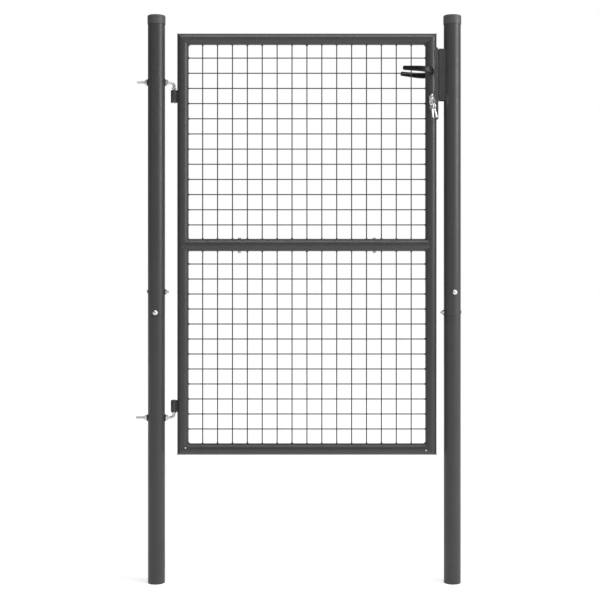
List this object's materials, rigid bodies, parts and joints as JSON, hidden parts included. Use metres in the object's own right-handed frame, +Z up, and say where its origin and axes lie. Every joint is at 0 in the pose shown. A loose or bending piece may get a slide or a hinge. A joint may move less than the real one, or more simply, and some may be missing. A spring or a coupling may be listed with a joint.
{
  "type": "garden gate",
  "caption": "Single-leaf garden gate of round steel tube with welded mesh panels, hung on J-bolt hinges between two round posts, with a lever handle, cylinder lock and keeper.",
  "frame": {"origin": "foot of the hinge post, on its axis", "axes": "+X from the hinge post to the latch post, +Z up along the posts, -Y towards the side the leaf opens to"},
  "size_m": [1.1499, 0.165, 2],
  "materials": {
    "anthracite_coat": "anthracite powder coat, satin with fine orange peel",
    "lock_face_coat": "lighter grey powder coat, satin",
    "zinc_plate": "bright zinc plating",
    "black_coat": "black powder coat, semi-gloss",
    "cap_plastic": "moulded grey plastic, faded satin",
    "lock_steel": "galvanised steel",
    "nickel_plate": "nickel plated brass, bright",
    "spring_steel": "spring steel",
    "black_nylon": "black nylon, matt"
  },
  "bodies": {
    "posts": {"hinge_post_lower_tube": "anthracite_coat", "hinge_post_upper_tube": "anthracite_coat", "hinge_post_cap": "cap_plastic", "latch_post_lower_tube": "anthracite_coat", "latch_post_upper_tube": "anthracite_coat", "latch_post_cap": "cap_plastic", "hinge_post_joint_bolts": "zinc_plate", "hinge_post_joint_nuts": "zinc_plate", "hinge_post_joint_saddles": "black_nylon", "latch_post_joint_bolts": "zinc_plate", "latch_post_joint_nuts": "zinc_plate", "latch_post_joint_saddles": "black_nylon", "upper_hinge_rod": "zinc_plate", "lower_hinge_rod": "zinc_plate", "upper_hinge_nuts": "zinc_plate", "lower_hinge_nuts": "zinc_plate", "upper_hinge_saddles": "black_nylon", "lower_hinge_saddles": "black_nylon", "hinge_pin_collars": "zinc_plate", "strike_keeper": "anthracite_coat"},
    "leaf": {"hinge_stile": "anthracite_coat", "lock_stile": "anthracite_coat", "top_rail": "anthracite_coat", "mid_rail": "anthracite_coat", "bottom_rail": "anthracite_coat", "upper_mesh_uprights": "anthracite_coat", "upper_mesh_crosswires": "anthracite_coat", "lower_mesh_uprights": "anthracite_coat", "lower_mesh_crosswires": "anthracite_coat", "upper_hinge_sleeve": "anthracite_coat", "lower_hinge_sleeve": "anthracite_coat", "mid_rail_bolts": "zinc_plate", "mid_rail_nuts": "zinc_plate", "vent_plugs": "zinc_plate", "lock_housing": "lock_face_coat", "lock_case": "lock_steel", "lock_cover": "lock_steel", "lock_screws": "zinc_plate", "cylinder_body": "nickel_plate", "cylinder_screw": "zinc_plate", "rear_plug": "nickel_plate", "front_bush": "black_nylon", "rear_bush": "black_nylon", "latch_spring": "spring_steel", "return_spring": "spring_steel"},
    "handle": {"front_lever": "black_coat", "rear_lever": "black_coat", "spindle": "lock_steel", "follower": "lock_steel", "lever_grub_screws": "zinc_plate"},
    "latch": {"latch_bolt": "lock_steel"},
    "dead_bolt": {"dead_bolt": "lock_steel"},
    "key": {"lock_key": "nickel_plate", "front_plug": "nickel_plate", "cylinder_cam": "nickel_plate", "key_ring": "nickel_plate", "spare_keys": "nickel_plate"}
  },
  "joints": [
    {"name": "leaf_swing", "type": "hinge", "parent": "posts", "child": "leaf", "pos_m": [0.062, 0, 1.17], "axis": [0, 0, -1], "range_deg": [0, 110]},
    {"name": "handle_turn", "type": "hinge", "parent": "leaf", "child": "handle", "pos_m": [0.9685, 0, 1.799], "axis": [0, -1, 0], "range_deg": [0, 38], "stiffness_Nm_per_rad": 1.2, "springref_deg": -17.19, "deforming": ["latch_spring", "return_spring"]},
    {"name": "latch_slide", "type": "slide", "parent": "leaf", "child": "latch", "axis": [-1, 0, 0], "range_m": [0, 0.0121]},
    {"name": "key_turn", "type": "hinge", "parent": "leaf", "child": "key", "pos_m": [0.9685, 0, 1.707], "axis": [0, 1, 0], "range_deg": [0, 360]},
    {"name": "dead_bolt_slide", "type": "slide", "parent": "leaf", "child": "dead_bolt", "axis": [1, 0, 0], "range_m": [0, 0.0121]}
  ],
  "couplings": [
    {"joint": "latch_slide", "follows": "handle_turn", "m_per_rad": 0.018093},
    {"joint": "dead_bolt_slide", "follows": "key_turn", "m_per_rad": 0.0019099}
  ]
}
